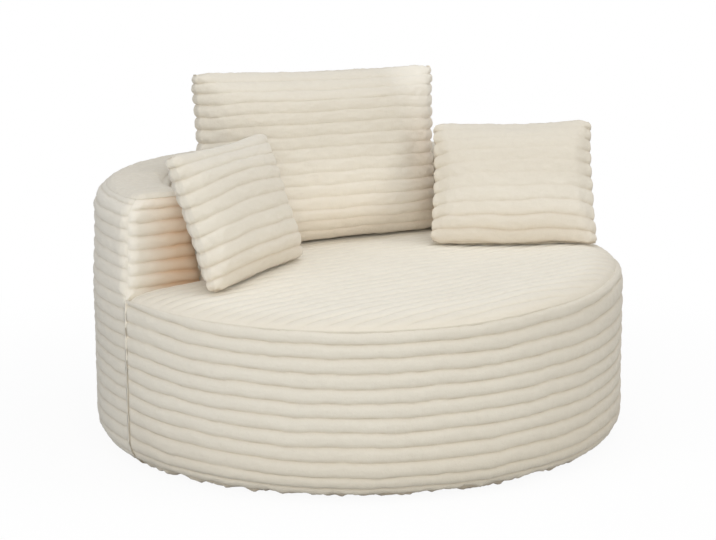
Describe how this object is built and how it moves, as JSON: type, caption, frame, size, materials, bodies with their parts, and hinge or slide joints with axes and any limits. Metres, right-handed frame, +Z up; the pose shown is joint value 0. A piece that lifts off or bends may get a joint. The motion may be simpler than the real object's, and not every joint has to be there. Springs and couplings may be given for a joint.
{
  "type": "round upholstered armchair",
  "caption": "Round drum-shaped armchair in ribbed cream plush, with a thick curved back round the rear half, a crowned seat and loose cushions.",
  "frame": {"origin": "on the floor, under the middle of the round base", "axes": "+Z up, -Y towards the open front of the chair, +X to the right as the chair is seen from the front"},
  "size_m": [1.2, 1.2, 0.8176],
  "materials": {
    "plush_fabric": "matte",
    "white_wadding": "matte",
    "yellow_foam": "matte",
    "birch_plywood": "satin",
    "planed_pine": "satin",
    "brown_hardboard": "matte",
    "elastic_webbing": "matte",
    "black_lining": "matte",
    "white_nylon": "satin",
    "zinc_steel": "satin"
  },
  "bodies": {
    "chair": {"arm_cover_left": "plush_fabric", "arm_cover_right": "plush_fabric", "arm_pad_left": "yellow_foam", "arm_pad_right": "yellow_foam", "back_inner_board": "brown_hardboard", "back_inner_foam": "yellow_foam", "back_outer_board": "brown_hardboard", "back_outer_foam": "yellow_foam", "back_post_1": "planed_pine", "back_post_2": "planed_pine", "back_post_3": "planed_pine", "back_post_4": "planed_pine", "back_post_5": "planed_pine", "back_rail": "birch_plywood", "back_top_cover": "plush_fabric", "back_top_foam": "yellow_foam", "base_board": "birch_plywood", "base_foam": "yellow_foam", "base_hoop": "brown_hardboard", "base_post_1": "planed_pine", "base_post_2": "planed_pine", "base_post_3": "planed_pine", "base_post_4": "planed_pine", "base_post_5": "planed_pine", "base_post_6": "planed_pine", "dust_cover": "black_lining", "front_cover": "plush_fabric", "glide_1": "white_nylon", "glide_2": "white_nylon", "glide_3": "white_nylon", "glide_4": "white_nylon", "glide_screw_1": "zinc_steel", "glide_screw_2": "zinc_steel", "glide_screw_3": "zinc_steel", "glide_screw_4": "zinc_steel", "inner_back_cover": "plush_fabric", "outer_back_cover": "plush_fabric", "seat_cover": "plush_fabric", "seat_foam": "yellow_foam", "seat_ring": "birch_plywood", "seat_wadding": "white_wadding", "web_across_1": "elastic_webbing", "web_across_2": "elastic_webbing", "web_across_3": "elastic_webbing", "web_along_1": "elastic_webbing", "web_along_2": "elastic_webbing", "web_along_3": "elastic_webbing"},
    "back_cushion": {"back_cushion_cover": "plush_fabric", "back_cushion_filling": "white_wadding", "back_cushion_zip": "white_nylon"},
    "left_pillow": {"left_pillow_cover": "plush_fabric", "left_pillow_filling": "white_wadding", "left_pillow_zip": "white_nylon"},
    "right_pillow": {"right_pillow_cover": "plush_fabric", "right_pillow_filling": "white_wadding", "right_pillow_zip": "white_nylon"},
    "back_zip_slider": {"back_cushion_zip_slider": "zinc_steel"},
    "left_zip_slider": {"left_pillow_zip_slider": "zinc_steel"},
    "right_zip_slider": {"right_pillow_zip_slider": "zinc_steel"}
  },
  "joints": [
    {"name": "back_cushion_lift", "type": "slide", "parent": "chair", "child": "back_cushion", "axis": [0, 0, 1], "range_m": [0, 0.35]},
    {"name": "left_pillow_lift", "type": "slide", "parent": "chair", "child": "left_pillow", "axis": [0, 0, 1], "range_m": [0, 0.3]},
    {"name": "right_pillow_lift", "type": "slide", "parent": "chair", "child": "right_pillow", "axis": [0, 0, 1], "range_m": [0, 0.3]},
    {"name": "back_zip_slide", "type": "slide", "parent": "back_cushion", "child": "back_zip_slider", "axis": [0.9995, -0.0174, -0.0262], "range_m": [0, 0.392]},
    {"name": "left_zip_slide", "type": "slide", "parent": "left_pillow", "child": "left_zip_slider", "axis": [0.8783, 0.4769, 0.0349], "range_m": [0, 0.212]},
    {"name": "right_zip_slide", "type": "slide", "parent": "right_pillow", "child": "right_zip_slider", "axis": [0.7769, -0.6291, 0.0262], "range_m": [0, 0.212]}
  ]
}
